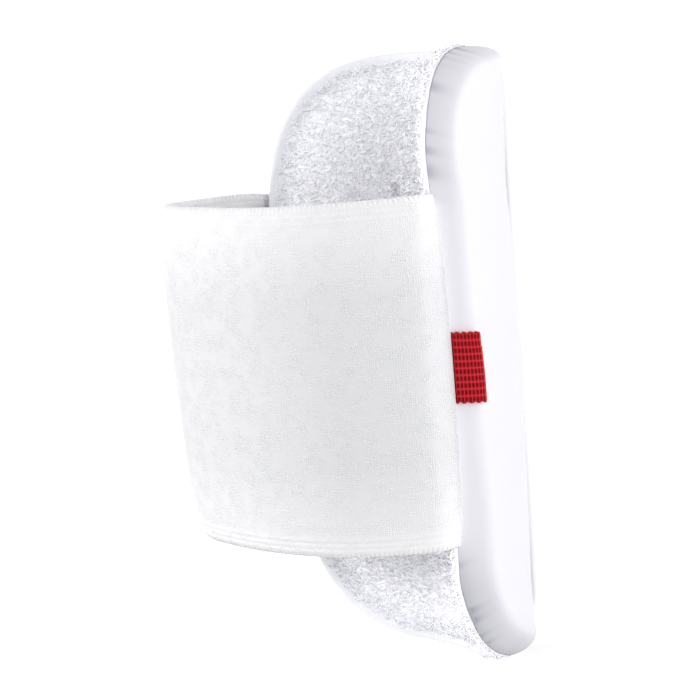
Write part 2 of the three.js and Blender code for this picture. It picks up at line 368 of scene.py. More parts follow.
COVER_POINTS = 720
COVER_SHARES = [
    # of the way from the border to the crown, closest together over the bevel
    0, 0.004, 0.009, 0.015, 0.022, 0.03, 0.038, 0.046, 0.054, 0.062, 0.07, 0.079, 0.088, 0.098,
    0.11, 0.124, 0.14, 0.158, 0.178, 0.2, 0.225, 0.255, 0.29, 0.33, 0.375, 0.425, 0.48, 0.54,
    0.6, 0.66, 0.72, 0.78, 0.83, 0.88, 0.92, 0.96, 1,
]
COVER_SWELLS = [
    # middle along the arm, half width, height
    (18, 52, 1.9),
    (-85, 25, -0.8),
]
ELBOW_PLUMP = 2.0  # the foam stands this much fuller at the elbow end
PLUMP_RISES = (70, 112)
SWELL_RISES = (8, 22)  # distances from the crown, on the sewn side
SWELL_FALLS = (48, 76)
SLACK = 0.35  # the skin lies this much looser or tighter from place to place
HELD_RIM = (52, 80)  # distances from the strap's middle at which the rim is held and free
PLEATS = [
    # turns round the border, depth
    (150, 1.2),
    (80, 0.88),
]
PLEAT_SEED = 3.1
PLEAT_REACH = 1.8
HELD_PLEAT = 0.25  # share of their depth where the strap holds the rim
# Painted shade on the skin: in the pleats' pockets, along the seam and over the rolled edge
PLEAT_PAINTED_SHADE = 0.9375
SEAM_PAINTED_SHADE = (0.75, 0.3)  # at the wrist and at the elbow
SEAM_TONE_REACH = (4.2, 2.8)
EDGE_PAINTED_SHADE = (0.03, 0.08)  # where the strap holds the rim and at the free ends
EDGE_SOFTNESS = (0.6, 0.05)


def beside_strap(x):
    """From 0 where the strap holds the rim to 1 at the free ends."""
    return smoothstep(abs(x - STRAP_OFFSET), *HELD_RIM)


def pleat(x, s, position):
    """Depth of the pleats that the stitches draw into the skin beside the seam."""
    return min(0, gathers(position, PLEAT_SEED, PLEATS)) * math.exp(-seam_distance(x, s) / PLEAT_REACH)


def painted_edge_shade(x, s, position):
    """How grey the skin reads, from 0 to 1: painted shade over its rolled edge, along the seam and in the
    pockets of the pleats.
    """
    near = seam_distance(x, s)
    ends = beside_strap(x)
    softness = lerp(*EDGE_SOFTNESS, ends)
    over_edge = 1 - smoothstep(near / rim_bevel(x), 1 - softness, 1 + softness)
    by_seam = along_arm(x, *SEAM_PAINTED_SHADE) * math.exp(-near / along_arm(x, *SEAM_TONE_REACH))
    pocket = -PLEAT_PAINTED_SHADE * pleat(x, s, position)
    return over_edge * lerp(*EDGE_PAINTED_SHADE, ends) + ends * (by_seam + pocket)


def cover_skin_point(x, s, position):
    near = seam_distance(x, s)
    depth = pleat(x, s, position) * min(1, near) * lerp(HELD_PLEAT, 1, beside_strap(x))
    slack = SLACK * noise.noise(Vector((x / 22, s / 14, 1.7))) * smoothstep(near, 2, 12)
    swell = ELBOW_PLUMP * smoothstep(x, *PLUMP_RISES)
    for middle, half_width, height in COVER_SWELLS:
        swell += height * math.exp(-(((x - middle) / half_width) ** 2))
    fullness = swell * smoothstep(-s, *SWELL_RISES) * (1 - smoothstep(-s, *SWELL_FALLS))
    thickness = cover_thickness(x, s)
    fullness *= min(1, thickness / 5)
    point = trough_point(x, s, max(0, thickness + depth + slack * min(1, thickness / 4) + fullness))
    point.z = max(point.z, 0)
    return point


def padded_cover():
    border = outline_places(COVER_POINTS)
    skin = Skin()
    tones = {}
    outside = []
    inside = []
    for i, (place, core) in enumerate(border):
        position = i / COVER_POINTS
        rings = []
        for share in COVER_SHARES:
            x, s = part_way(place, core, share)
            point = cover_skin_point(x, s, position)
            rings.append(point)
            tones[skin.number(point)] = painted_edge_shade(x, s, position)
        outside.append(rings)
        inside.append([trough_point(*part_way(place, core, share), 0) for share in COVER_SHARES[::6]])
    for i in range(COVER_POINTS):
        j = (i + 1) % COVER_POINTS
        for grid, flip in ((outside, False), (inside, True)):
            for k in range(len(grid[0]) - 1):
                corners = [grid[i][k], grid[i][k + 1], grid[j][k + 1], grid[j][k]]
                skin.face(corners[::-1] if flip else corners)
        skin.face([inside[i][0], outside[i][0], outside[j][0], inside[j][0]])
    cover = skin.piece("cover")
    set_values(cover, "tone", [tones.get(number, 0) for number in range(len(skin.points))])
    return cover


# Towelling: a backing with a rolled, gathered edge, and its loops

BACKING_RAISE = 2.0
RIM_RAISE = 2.4  # the backing stands this high along the flattened rim
BACKING_POINTS = 720
BACKING_STEPS = 40
BACKING_START = 1.8  # where the backing begins inside its rolled edge
UNDERSIDE_START = 1.6
UNDERSIDE_SHARES = (0.2, 0.45, 0.75, 1)
EDGE_PROFILE = [
    # distance in from the seam, height over the back of the lining
    (1.2, 0.3),
    (0.3, 0.12),
    (-0.35, -0.12),
    (-0.8, 0.3),
    (-0.75, 1.3),
    (-0.2, 2.1),
    (1.1, 2.5),
]
EDGE_GATHERS = [
    # turns round the border, share of the edge's reach
    (260, 0.75),
    (120, 0.5),
]
PILE_BUMPS = [
    # width, height, seed
    (1.7, 0.3, 5),
    (4.5, 0.45, 2),
]
GATHER_SEED = 7.7
HELD_ROLL = 0.35  # share of the edge's roll where the strap holds it
FREE_SIDE_GATHER = 0.05  # share of the gathers along the free rim
GATHERS_FADE = (-40, 20)  # distances from the crown, from the sewn side to the free one
BACKING_CROWDING = 1.5  # crowds the backing's rows towards its edge
RIM_SHADE_REACH = (16, 10)  # at the wrist and at the elbow


def flattened(x, s):
    """Share of the pile that is pressed flat: along the free rim and the ends beside it."""
    near = seam_distance(x, s)
    return smoothstep(s, -70, 0) * (1 - smoothstep(near, SMOOTH_BAND * 0.6, SMOOTH_BAND * 1.3))


def painted_rim_shade(x, s):
    """How grey the towelling reads, from 0 to 1: painted shade along the seam, deepest at the seam itself.
    """
    return 1 - smoothstep(seam_distance(x, s), 1, along_arm(x, *RIM_SHADE_REACH))


def backing_raise(x, s):
    """Height of the backing over the back of the lining: fuller along the flattened rim."""
    return lerp(BACKING_RAISE, RIM_RAISE, flattened(x, s))


def backing_bump(x, s):
    """The pile parts and bunches over a few millimetres."""
    bumps = [size * noise.noise(Vector((x / width, s / width, seed))) for width, size, seed in PILE_BUMPS]
    return (1 - flattened(x, s)) * sum(bumps)


def towel_backing():
    skin = Skin()
    columns = []
    for i, (place, core) in enumerate(outline_places(BACKING_POINTS)):
        free = 1 - strap_pull(place[0])
        gather = gathers(i / BACKING_POINTS, GATHER_SEED, EDGE_GATHERS)
        gather *= lerp(1, FREE_SIDE_GATHER, smoothstep(place[1], *GATHERS_FADE))
        roll = lerp(HELD_ROLL, 1, free) * (1 + gather)
        toward = towards(place, core)
        column = []
        for inset, raised in EDGE_PROFILE:
            x, s = moved_in(place, toward, inset * (roll if inset < 0 else 1) * EDGE_ROLL)
            column.append((trough_point(x, s, -raised), (x, s)))
        start = moved_in(place, toward, BACKING_START)
        for step in range(BACKING_STEPS + 1):
            x, s = part_way(start, core, (step / BACKING_STEPS) ** BACKING_CROWDING)
            bump = backing_bump(x, s) * min(1, step / 3)
            column.append((trough_point(x, s, -backing_raise(x, s) - bump), (x, s)))
        underside = [moved_in(place, toward, UNDERSIDE_START)]
        underside += [part_way(place, core, share) for share in UNDERSIDE_SHARES]
        back = [(trough_point(x, s, -FIT_GAP), (x, s)) for x, s in underside]
        columns.append(back[::-1] + column)
    for i in range(BACKING_POINTS):
        a, b = columns[i], columns[(i + 1) % BACKING_POINTS]
        for k in range(len(a) - 1):
            four = [a[k], b[k], b[k + 1], a[k + 1]]
            skin.face([corner[0] for corner in four], [corner[1] for corner in four])
    towelling = skin.piece("towelling")
    # each point of the backing gets painted shade along the seam
    tones = [0] * len(skin.points)
    for column in columns:
        for point, (x, s) in column:
            tones[skin.number(point)] = painted_rim_shade(x, s)
    set_values(towelling, "tone", tones)
    return towelling


YARN_SIDES = 3
YARN_BENDS = 4


def add_loop(points, faces, foot, up, along, height, width, thread, lean):
    """One arch of yarn, as a thin tube."""
    across = up.cross(along)
    first = len(points)
    for i in range(YARN_BENDS + 1):
        angle = math.pi * i / YARN_BENDS
        rise = height * math.sin(angle)
        centre = foot + along * (-width / 2 * math.cos(angle)) + up * rise + across * (lean * rise / height)
        out = along * -math.cos(angle) + up * math.sin(angle)
        for k in range(YARN_SIDES):
            turn = 2 * math.pi * k / YARN_SIDES
            side = out * (thread * math.cos(turn)) + across * (thread * math.sin(turn))
            points.append((centre + side) * MM)
    for i in range(YARN_BENDS):
        for k in range(YARN_SIDES):
            a = first + YARN_SIDES * i + k
            b = first + YARN_SIDES * i + (k + 1) % YARN_SIDES
            faces.append((a, b, b + YARN_SIDES, a + YARN_SIDES))


LOOP_SEED = 11
LOOP_THREAD = 0.25  # half thickness of the yarn
EDGE_THREAD = 0.34
EDGE_LOOP_PLACES = 460
EDGE_LOOPS_EACH = 3
BEFORE_WRIST = 3  # loops are laid out from this far before the wrist end to beyond the elbow end
BEYOND_ELBOW = 9
PART_MARGIN = 8
LOOP_PIECES = ("loops_wrist", "loops_mid_wrist", "loops_mid_elbow", "loops_elbow", "loops_edge")


def towel_loops():
    draw = random.Random(LOOP_SEED)
    groups = [([], [], []) for _ in LOOP_PIECES]
    rows = int(2 * HALF_GIRTH / LOOP_SPACING)
    columns = int((BEFORE_WRIST + PAD_LENGTH + BEYOND_ELBOW) / LOOP_SPACING)
    for row in range(rows):
        for column in range(columns):
            x = -HALF_LENGTH - BEFORE_WRIST + (column + 0.5 + draw.uniform(-0.45, 0.45)) * LOOP_SPACING
            s = -HALF_GIRTH + (row + 0.5 + draw.uniform(-0.45, 0.45)) * LOOP_SPACING
            turn = draw.uniform(0, math.pi)
            tall = draw.uniform(0.75, 1.25)
            lean = draw.uniform(-1.3, 1.3)
            wide = draw.uniform(0.8, 1.7)
            near = seam_distance(x, s)
            if near < 0.8:
                continue
            flat = flattened(x, s)
            if flat > 0.3 and draw.random() < flat:
                continue
            up = -outward(s)
            along = Vector((1, 0, 0)) * math.cos(turn) + Vector((0, up.z, -up.y)) * math.sin(turn)
            clump = 1 + 0.4 * noise.noise(Vector((x / 6, s / 6, 9)))
            height = LOOP_LENGTH * tall * clump * lerp(1, 0.5, flat)
            share = (x + HALF_LENGTH + PART_MARGIN) / (PAD_LENGTH + 2 * PART_MARGIN)
            points, faces, tones = groups[int(share * (len(groups) - 1))]
            foot = trough_point(x, s, -backing_raise(x, s) - backing_bump(x, s) + 0.2)
            add_loop(points, faces, foot, up, along, height, wide, LOOP_THREAD, lean)
            # painted shade along the seam, as on the backing
            tones += [painted_rim_shade(x, s)] * (len(points) - len(tones))
    points, faces, tones = groups[-1]
    for place, core in outline_places(EDGE_LOOP_PLACES):
        if place[1] > 0:
            continue
        toward = towards(place, core)
        for _ in range(EDGE_LOOPS_EACH):
            x, s = moved_in(place, toward, draw.uniform(-0.8, 0.7))
            foot = trough_point(x, s, -draw.uniform(0.5, 2.2))
            seamward = trough_point(x - toward.x, s - toward.y, -1.5) - trough_point(x, s, -1.5)
            beyond = seamward.normalized()
            up = (beyond * draw.uniform(0.2, 1.4) - outward(s)).normalized()
            along = (up.cross(beyond) + beyond * draw.uniform(-0.6, 0.6)).normalized()
            height = draw.uniform(0.6, 1.4) * lerp(0.5, 1, beside_strap(x))
            add_loop(points, faces, foot, up, along, height, draw.uniform(1.2, 2.4), EDGE_THREAD, 0)
            # the loops at the sewn edge get painted shade of a random depth
            tones += [draw.uniform(0.3, 1)] * (len(points) - len(tones))
    pieces = []
    for name, (points, faces, tones) in zip(LOOP_PIECES, groups):
        piece = new_piece(name, [tuple(point) for point in points], faces)
        set_values(piece, "tone", tones)
        shade_smooth(piece)
        pieces.append(piece)
    return pieces


# What lies on the outside of the cover


OUTSIDE_STEPS = 80
CURVE_STEPS = 24


def outside_line(x, side):
    line = []
    widest = reach(x, side)
    for i in range(OUTSIDE_STEPS + 1):
        from_seam = widest * (i / OUTSIDE_STEPS) ** 1.5
        line.append(cover_point(x, side * (widest - from_seam)))
    lengths = [0]
    for a, b in zip(line, line[1:]):
        lengths.append(lengths[-1] + (b - a).length)
    return line, lengths, side


def on_outside(wall, distance, lift):
    line, lengths, side = wall
    i = 1
    while i < len(lengths) - 1 and lengths[i] < distance:
        i += 1
    share = (distance - lengths[i - 1]) / (lengths[i] - lengths[i - 1])
    ahead = (line[i] - line[i - 1]).normalized()
    return line[i - 1].lerp(line[i], share) + Vector((0, side * -ahead.z, side * ahead.y)) * lift


def spaced_along(points, count):
    """Evenly spaced points on the centripetal Catmull-Rom curve through the given ones."""
    ends = [points[0] * 2 - points[1]] + points + [points[-1] * 2 - points[-2]]
    fine = [points[0]]
    for i in range(len(points) - 1):
        p0, p1, p2, p3 = ends[i : i + 4]
        steps = [max((b - a).length_squared ** 0.25, 1e-4) for a, b in ((p0, p1), (p1, p2), (p2, p3))]
        t1 = ((p1 - p0) / steps[0] - (p2 - p0) / (steps[0] + steps[1]) + (p2 - p1) / steps[1]) * steps[1]
        t2 = ((p2 - p1) / steps[1] - (p3 - p1) / (steps[1] + steps[2]) + (p3 - p2) / steps[2]) * steps[1]
        for k in range(1, CURVE_STEPS + 1):
            t = k / CURVE_STEPS
            fine.append(
                p1
                + t1 * t
                + (p2 * 3 - p1 * 3 - t1 * 2 - t2) * t**2
                + (p1 * 2 - p2 * 2 + t1 + t2) * t**3
            )
    lengths = [0]
    for a, b in zip(fine, fine[1:]):
        lengths.append(lengths[-1] + (b - a).length)
    spaced = []
    at = 0
    for i in range(count + 1):
        target = lengths[-1] * i / count
        while at + 2 < len(lengths) and lengths[at + 1] < target:
            at += 1
        share = (target - lengths[at]) / (lengths[at + 1] - lengths[at])
        spaced.append(fine[at].lerp(fine[at + 1], share))
    return spaced


def band(name, stations, route_of, half_profile, place_of):
    """Closed band: at each station a route, and half its thickness at each place of it."""
    skin = Skin()
    upper = []
    lower = []
    places = []
    for x in stations:
        route = route_of(x)
        up_row = []
        low_row = []
        place_row = []
        for i, point in enumerate(route):
            before = route[max(0, i - 1)]
            after = route[min(len(route) - 1, i + 1)]
            ahead = (after - before).normalized()
            normal = Vector((0, -ahead.z, ahead.y))
            top, bottom = half_profile(x, i, len(route) - 1)
            up_row.append(point + normal * top)
            low_row.append(point - normal * bottom)
            place_row.append(place_of(x, i, len(route) - 1))
        upper.append(up_row)
        lower.append(low_row)
        places.append(place_row)
    last_row = len(upper) - 1
    last = len(upper[0]) - 1
    for i in range(last_row):
        for j in range(last):
            quad = ((i, j), (i + 1, j), (i + 1, j + 1), (i, j + 1))
            skin.face([upper[a][b] for a, b in quad], [places[a][b] for a, b in quad])
            skin.face([lower[a][b] for a, b in quad[::-1]], [places[a][b] for a, b in quad[::-1]])
        for j, turned in ((0, False), (last, True)):
            corners = [upper[i][j], lower[i][j], lower[i + 1][j], upper[i + 1][j]]
            near = [places[i][j], places[i][j], places[i + 1][j], places[i + 1][j]]
            skin.face(corners[::-1] if turned else corners, near[::-1] if turned else near)
    for j in range(last):
        for i, turned in ((0, False), (last_row, True)):
            corners = [upper[i][j], upper[i][j + 1], lower[i][j + 1], lower[i][j]]
            near = [places[i][j], places[i][j + 1], places[i][j + 1], places[i][j]]
            skin.face(corners[::-1] if turned else corners, near[::-1] if turned else near)
    return skin.piece(name)


STRAP_STEPS = 700
LAP_STEPS = 5
SELVEDGE_WIDTH = 1.2
SELVEDGE_THINNEST = 0.06
CORD_PLACES = (2.2, 4.3, 6.4)  # distances from the strap's edge
CORD_HEIGHT = 0.3
CORD_WIDTH = 0.55
PICOT_HEIGHT = 0.25
PICOT_REACH = 1.6
FACE_DROP = 0.1  # the face lies this much below the full thickness, between its cords
THINNEST_HALF = 0.12
STATIONS_FROM_EDGE = [
    0, 0.25, 0.6, 1.1, 1.7, 2.2, 2.7, 3.25, 3.8, 4.3, 4.8, 5.35,
    5.9, 6.4, 6.9, 7.6, 9, 12, 17, 24, 32, 42, 53,
]


def strap_route(x):
    share = 2 * (x - STRAP_OFFSET) / STRAP_WIDTH
    held = clamp(share, -1, 1)
    sewn_lift = FIT_GAP + STRAP_THICKNESS / 2
    free_lift = sewn_lift + FIT_GAP + TAPE_THICKNESS
    sewn_wall = outside_line(x, SEWN)
    free_wall = outside_line(x, FREE)
    sewn_rim = trough_point(x, -reach(x, SEWN), 0)
    free_rim = trough_point(x, reach(x, FREE), 0)
    lap = SEWN_LAP_CORNER + (SEWN_LAP_MIDDLE - SEWN_LAP_CORNER) * (1 - held**4)
    points = [on_outside(sewn_wall, lap, sewn_lift), on_outside(sewn_wall, lap / 2, sewn_lift)]
    height = LOOP_HEIGHT * (1 + LOOP_TAPER / 2 * share) + LOOP_SPRING - EDGE_CURL * abs(held) ** 10
    middle = (sewn_rim.y + free_rim.y) / 2
    half_width = (free_rim.y - sewn_rim.y) / 2
    rim_height = (sewn_rim.z + free_rim.z) / 2
    for across, rise in LOOP_ROUTE:
        spread = 1 + FAR_SPREAD * smoothstep(across, -0.7, 0.8)
        far_x = STRAP_OFFSET + (x - STRAP_OFFSET) * spread
        points.append(Vector((far_x, middle + across * half_width, rim_height + rise * height)))
    crest = math.hypot(rim_bevel(x), rim_thickness(x))
    for i in range(LAP_STEPS + 1):
        points.append(on_outside(free_wall, crest + (FREE_LAP - crest) * i / LAP_STEPS, free_lift))
    return spaced_along(points, STRAP_STEPS)


def strap_half(x, i, last):
    """Half thickness: rounded selvedges with three cords beside each."""
    from_edge = STRAP_WIDTH / 2 - abs(x - STRAP_OFFSET)
    into_edge = min(1, from_edge / SELVEDGE_WIDTH)
    edge = math.sqrt(clamp(1 - (1 - into_edge) ** 2, SELVEDGE_THINNEST, 1))
    cords = sum(CORD_HEIGHT * math.exp(-(((from_edge - place) / CORD_WIDTH) ** 2)) for place in CORD_PLACES)
    picot = PICOT_HEIGHT * math.sin(2 * math.pi * i / last * STRAP_LENGTH / PICOT_PITCH)
    picot *= math.exp(-((from_edge / PICOT_REACH) ** 2))
    half = max(THINNEST_HALF, STRAP_THICKNESS / 2 * edge - FACE_DROP + cords + picot)
    return half, half


def strap_stations():
    left = [-STRAP_WIDTH / 2 + value for value in STATIONS_FROM_EDGE]
    right = [-value for value in left[::-1]]
    return [STRAP_OFFSET + value for value in left + [0] + right]


def elastic_strap():
    def place_of(x, i, last):
        return x - STRAP_OFFSET, i / last * STRAP_LENGTH

    return band("strap", strap_stations(), strap_route, strap_half, place_of)


TAPE_CORNER = 3
TAPE_STEPS = 60
TAPE_STATIONS = 110
HOOK_HEIGHT = 0.12
HOOK_ROW_PITCH = 1.9
HOOK_STEPS = 5
TAPE_FACE_DROP = 0.15


def hook_tape():
    lift = FIT_GAP + TAPE_THICKNESS / 2
    first = FREE_LAP - TAPE_END_MARGIN - TAPE_WIDTH

    def route_of(x):
        wall = outside_line(x, FREE)
        from_end = TAPE_LENGTH / 2 - abs(x - STRAP_OFFSET)
        into_corner = TAPE_CORNER - min(TAPE_CORNER, from_end)
        inset = TAPE_CORNER - math.sqrt(max(0, TAPE_CORNER**2 - into_corner**2))
        near, far = first + inset, first + TAPE_WIDTH - inset
        return [on_outside(wall, lerp(near, far, i / TAPE_STEPS), lift) for i in range(TAPE_STEPS + 1)]

    def half(x, i, last):
        hooks_up = math.sin(x * 2 * math.pi / HOOK_ROW_PITCH) * math.sin(i * 2 * math.pi / HOOK_STEPS)
        back = TAPE_THICKNESS / 2 - TAPE_FACE_DROP
        return back + max(0, HOOK_HEIGHT * hooks_up), back

    def place_of(x, i, last):
        return x, i / last * TAPE_WIDTH

    stations = [STRAP_OFFSET + TAPE_LENGTH * (i / TAPE_STATIONS - 0.5) for i in range(TAPE_STATIONS + 1)]
    return band("hook_tape", stations, route_of, half, place_of)


TAB_STEPS = 96
TAB_STATIONS = 132
TAB_LAYER_STEPS = 5
TAB_SELVEDGE = 1.3
TAB_RUN = TAB_LENGTH + 0.5  # from the end of a layer to the middle of the fold
RIB_HEIGHT = 0.176
TIE_DEPTH = 0.4
WEBBING_FACE_DROP = 0.12
WEBBING_BACK_DROP = 0.15


def webbing_tab():
    middle = STRAP_OFFSET + TAB_OFFSET
    low_lift = FIT_GAP + WEBBING_THICKNESS / 2
    high_lift = low_lift + WEBBING_THICKNESS + FOLD_GAP
    fold = (high_lift - low_lift) / 2
    root = SEWN_LAP_MIDDLE + FIT_GAP

    def route_of(x):
        wall = outside_line(x, SEWN)
        length = TAB_LENGTH - TAB_TAPER * smoothstep(x - middle, -TAB_WIDTH / 4, TAB_WIDTH / 2)
        along = [root + (length - fold) * i / TAB_LAYER_STEPS for i in range(TAB_LAYER_STEPS + 1)]
        over = [on_outside(wall, distance, high_lift) for distance in along]
        under = [on_outside(wall, distance, low_lift) for distance in along[::-1]]
        tip = on_outside(wall, root + length, low_lift + fold)
        route = spaced_along(over + [tip] + under, TAB_STEPS)
        selvedge = smoothstep(abs(x - middle), TAB_WIDTH / 2 - TAB_SELVEDGE, TAB_WIDTH / 2)
        for i, point in enumerate(route):
            off_fold = abs(2 * i / TAB_STEPS - 1)
            point.x -= TAB_SKEW * (1 - off_fold)
            scallop = SCALLOP_DEPTH * (abs(math.sin(math.pi * off_fold * TAB_RUN / SCALLOP_PITCH)) - 0.6)
            point.x += selvedge * scallop * (1 if x > middle else -1)
        return route

    def half(x, i, last):
        """Ribs across the webbing, tied down between each pair by the binding yarns."""
        share = (x - middle) / TAB_WIDTH + 0.5
        rib = abs(math.cos(math.pi * share * TAB_RIBS)) ** 0.7
        tie = abs(math.sin(math.pi * i / last * 2 * TAB_RUN / SLOT_PITCH)) ** 1.5
        face = WEBBING_THICKNESS / 2 - WEBBING_FACE_DROP
        raised = RIB_HEIGHT * rib - TIE_DEPTH * (1 - rib) * tie
        return face + raised, WEBBING_THICKNESS / 2 - WEBBING_BACK_DROP

    def place_of(x, i, last):
        return x - middle, i / last * 2 * TAB_RUN

    stations = [middle + TAB_WIDTH * (i / TAB_STATIONS - 0.5) for i in range(TAB_STATIONS + 1)]
    return band("tab", stations, route_of, half, place_of)


# Materials


def linear(code):
    """Linear colour of an sRGB hex value."""
    values = [int(code[i : i + 2], 16) / 255 for i in (1, 3, 5)]
    return [v / 12.92 if v <= 0.04045 else ((v + 0.055) / 1.055) ** 2.4 for v in values] + [1]


def new_material(name):
    material = bpy.data.materials.new(name)
    material.use_nodes = True
    return material, material.node_tree, material.node_tree.nodes["Principled BSDF"]


def add(tree, kind, settings=(), **sockets):
    """Adds a node, sets its properties and inputs, and links the inputs that are given as outputs."""
    node = tree.nodes.new(kind)
    for name, value in dict(settings).items():
        setattr(node, name, value)
    for name, value in sockets.items():
        key = int(name[1:]) if name[1:].isdigit() and name[0] == "i" else name.replace("_", " ")
        socket = node.inputs[key]
        if isinstance(value, bpy.types.NodeSocket):
            tree.links.new(value, socket)
        else:
            socket.default_value = value
    return node


def ramp(tree, factor, stops):
    node = add(tree, "ShaderNodeValToRGB", Fac=factor)
    points = node.color_ramp.elements
    while len(points) < len(stops):
        points.new(0.5)
    for point, (at, code) in zip(points, stops):
        point.position = at
        point.color = linear(code)
    return node.outputs["Color"]


def pulse(tree, along, pitch):
    """Rises and falls evenly between 0 and 1 once in each pitch, in millimetres."""
    turned = add(tree, "ShaderNodeMath", {"operation": "MULTIPLY"}, i0=along, i1=math.pi / (pitch * MM))
    crossed = add(tree, "ShaderNodeMath", {"operation": "SINE"}, i0=turned.outputs[0])
    return add(tree, "ShaderNodeMath", {"operation": "ABSOLUTE"}, i0=crossed.outputs[0]).outputs[0]


def finish(tree, shader, colour, height, strength, distance):
    bump = add(tree, "ShaderNodeBump", Height=height, Strength=strength, Distance=distance)
    tree.links.new(colour, shader.inputs["Base Color"])
    tree.links.new(bump.outputs["Normal"], shader.inputs["Normal"])


def set_sheen(shader, roughness, sheen, sheen_roughness):
    shader.inputs["Roughness"].default_value = roughness
    shader.inputs["Sheen Weight"].default_value = sheen
    shader.inputs["Sheen Roughness"].default_value = sheen_roughness


# Polyester tricot over foam: very even and matt, with a fine knit that only shows close to;
# greyer over the rolled edge, along the seam and in its gathers, which is painted shade
def tricot():
    material, tree, shader = new_material("White polyester tricot")
    place = add(tree, "ShaderNodeTexCoord").outputs["Object"]
    cloud = add(tree, "ShaderNodeTexNoise", Vector=place, Scale=45.0, Detail=3.0, Roughness=0.5)
    knit = add(tree, "ShaderNodeTexNoise", Vector=place, Scale=1600.0, Detail=2.0, Roughness=0.6)
    # the tone attribute greys the colour: painted shade over the bevel, by the seam and in its pockets
    edge = add(tree, "ShaderNodeAttribute", {"attribute_name": "tone"})
    shade = add(tree, "ShaderNodeMath", {"operation": "MULTIPLY_ADD"},
        i0=cloud.outputs["Fac"], i1=0.06, i2=edge.outputs["Fac"])
    colour = ramp(tree, shade.outputs[0], [(0.0, "#e2e1e7"), (1.0, "#a3a3ad")])
    finish(tree, shader, colour, knit.outputs["Fac"], 0.12, 0.0003)
    set_sheen(shader, 0.72, 0.15, 0.5)
    return material


# Cotton terry: soft looped yarn; the backing is coloured greyer than the loops as painted shade between
# them, and the tone attribute adds painted shade along the seam
def terry(name, low, high):
    material, tree, shader = new_material(name)
    place = add(tree, "ShaderNodeTexCoord").outputs["Object"]
    tufts = add(tree, "ShaderNodeTexNoise", Vector=place, Scale=520.0, Detail=3.0, Roughness=0.7)
    edge = add(tree, "ShaderNodeAttribute", {"attribute_name": "tone"})
    # the tone attribute darkens the colour: painted shade along the seam
    shade = add(tree, "ShaderNodeMath", {"operation": "MULTIPLY_ADD"},
        i0=edge.outputs["Fac"], i1=-0.33, i2=tufts.outputs["Fac"])
    colour = ramp(tree, shade.outputs[0], [(0.0, "#c2c2c8"), (0.35, low), (0.65, high)])
    yarn = add(tree, "ShaderNodeTexNoise", Vector=place, Scale=2400.0, Detail=2.0, Roughness=0.6)
    finish(tree, shader, colour, yarn.outputs["Fac"], 0.3, 0.0003)
    set_sheen(shader, 0.95, 0.3, 0.6)
    return material


THREAD_PITCH = 0.85
TIE_PITCH = 0.8


# Woven elastic: covered rubber threads lie close together along it, tied by fine yarns across it,
# so the face is a fine grid of short dashes; it is paler towards both borders, which is painted light
def elastic():
    material, tree, shader = new_material("White woven elastic")
    place = add(tree, "ShaderNodeTexCoord").outputs["UV"]
    drift = add(tree, "ShaderNodeTexNoise", Vector=place, Scale=420.0, Detail=3.0, Roughness=0.6)
    shift = add(tree, "ShaderNodeVectorMath", {"operation": "MULTIPLY_ADD"},
        i0=drift.outputs["Color"], i1=(0.0024, 0.0024, 0), i2=place)
    parts = add(tree, "ShaderNodeSeparateXYZ", Vector=shift.outputs[0])
    threads = pulse(tree, parts.outputs["X"], THREAD_PITCH)
    ties = pulse(tree, parts.outputs["Y"], TIE_PITCH)
    grid = add(tree, "ShaderNodeMath", {"operation": "MULTIPLY"}, i0=threads, i1=ties)
    patches = add(tree, "ShaderNodeTexNoise", Vector=place, Scale=160.0, Detail=2.0, Roughness=0.6)
    fade = ramp(tree, patches.outputs["Fac"], [(0.35, "#404040"), (0.62, "#ffffff")])
    weave = add(tree, "ShaderNodeMath", {"operation": "MULTIPLY"}, i0=grid.outputs[0], i1=fade)
    across = add(tree, "ShaderNodeSeparateXYZ", Vector=place)
    middle = add(tree, "ShaderNodeMath", {"operation": "ABSOLUTE"}, i0=across.outputs["X"])
    # painted light: the colour is paler towards both borders of the strap
    border = add(tree, "ShaderNodeMapRange", i0=middle.outputs[0], i1=0.03, i2=0.06, i3=0.0, i4=0.6)
    tone = add(tree, "ShaderNodeMath", {"operation": "MULTIPLY_ADD"},
        i0=weave.outputs[0], i1=0.6, i2=border.outputs[0])
    colour = ramp(tree, tone.outputs[0], [(0.0, "#e2e2e4"), (0.55, "#f0f0f2"), (1.0, "#fdfdfe")])
    finish(tree, shader, colour, weave.outputs[0], 0.5, 0.0005)
    set_sheen(shader, 0.85, 0.15, 0.5)
    return material


